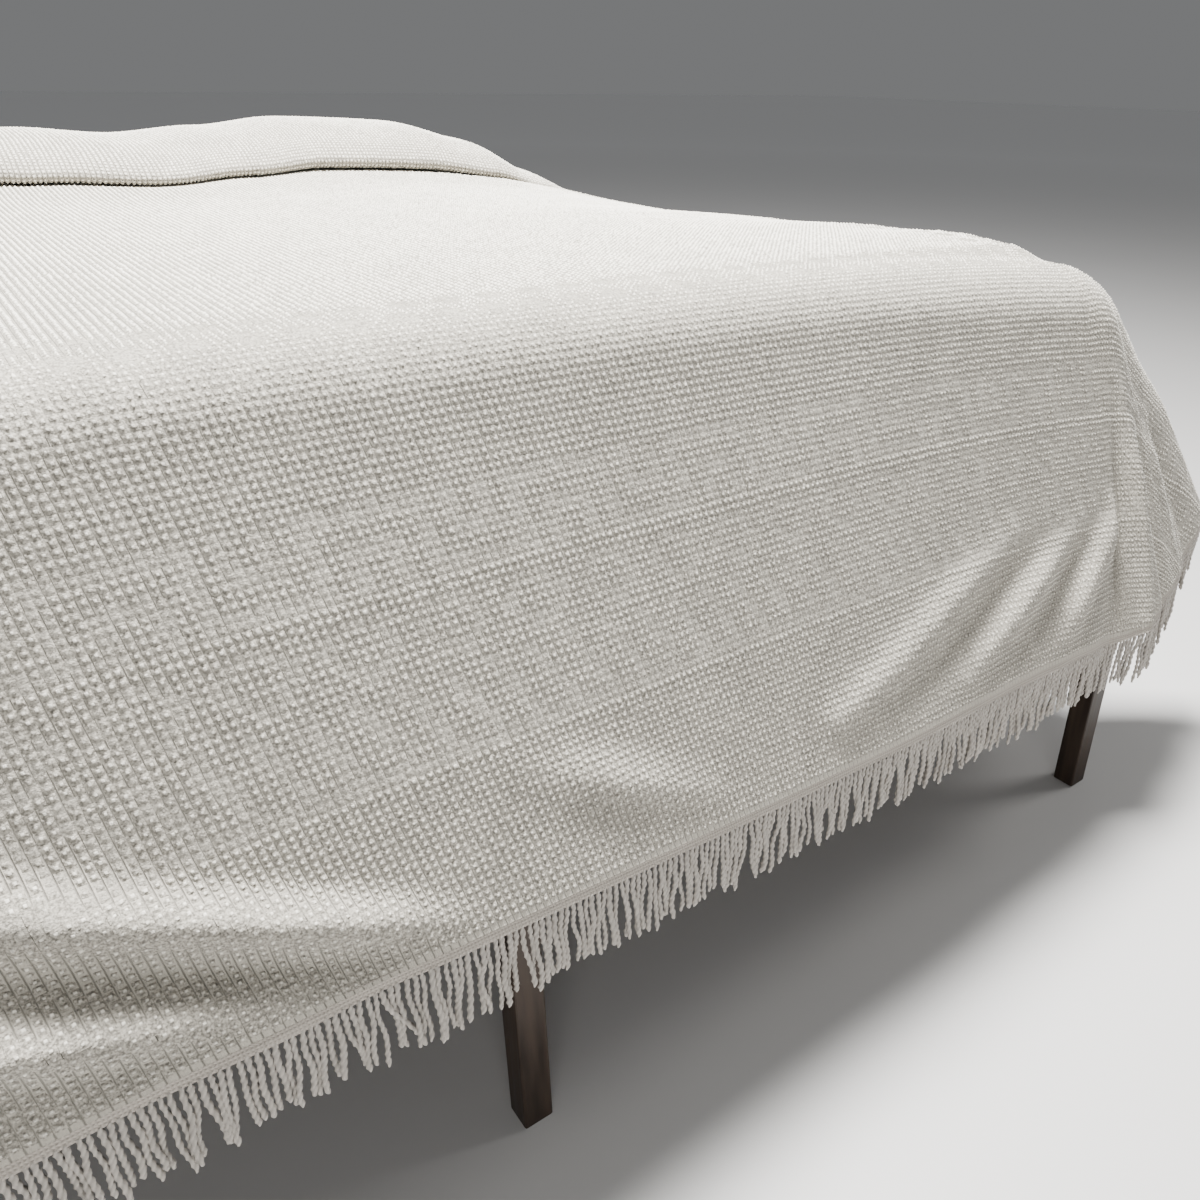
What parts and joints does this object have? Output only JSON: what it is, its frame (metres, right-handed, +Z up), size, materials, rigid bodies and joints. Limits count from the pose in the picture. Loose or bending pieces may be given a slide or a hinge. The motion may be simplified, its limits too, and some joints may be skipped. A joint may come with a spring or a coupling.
{
  "type": "candlewick bedspread on a bed",
  "caption": "Off-white nubbed cotton bedspread with a tape and twisted fringe round its hem, draped to mid height over a made bed, tucked in front of the pillows.",
  "frame": {"origin": "on the floor, under the middle of the bed's centre leg", "axes": "+Z up, +Y towards the head of the bed, +X to the right for someone who stands at the foot and looks at the head"},
  "size_m": [2.4285, 2.2823, 0.9655],
  "materials": {
    "spread": "off-white cotton with raised nubs, matt",
    "fringe": "cream cotton tape and two-ply twisted cords, matt",
    "linen": "plain white cotton ticking, matt",
    "foundation": "plain beige upholstery cloth, matt",
    "wood": "very dark brown stained wood, satin"
  },
  "bodies": {
    "root": {"bedspread": "spread", "fringe_left": "fringe", "fringe_left_corner": "fringe", "fringe_foot": "fringe", "fringe_right_corner": "fringe", "fringe_right": "fringe", "pillow_left": "linen", "pillow_right": "linen", "mattress": "linen", "foundation": "foundation", "platform": "wood", "leg_foot_left": "wood", "leg_foot_middle": "wood", "leg_foot_right": "wood", "leg_centre_left": "wood", "leg_centre": "wood", "leg_centre_right": "wood", "leg_head_left": "wood", "leg_head_middle": "wood", "leg_head_right": "wood"}
  },
  "joints": []
}
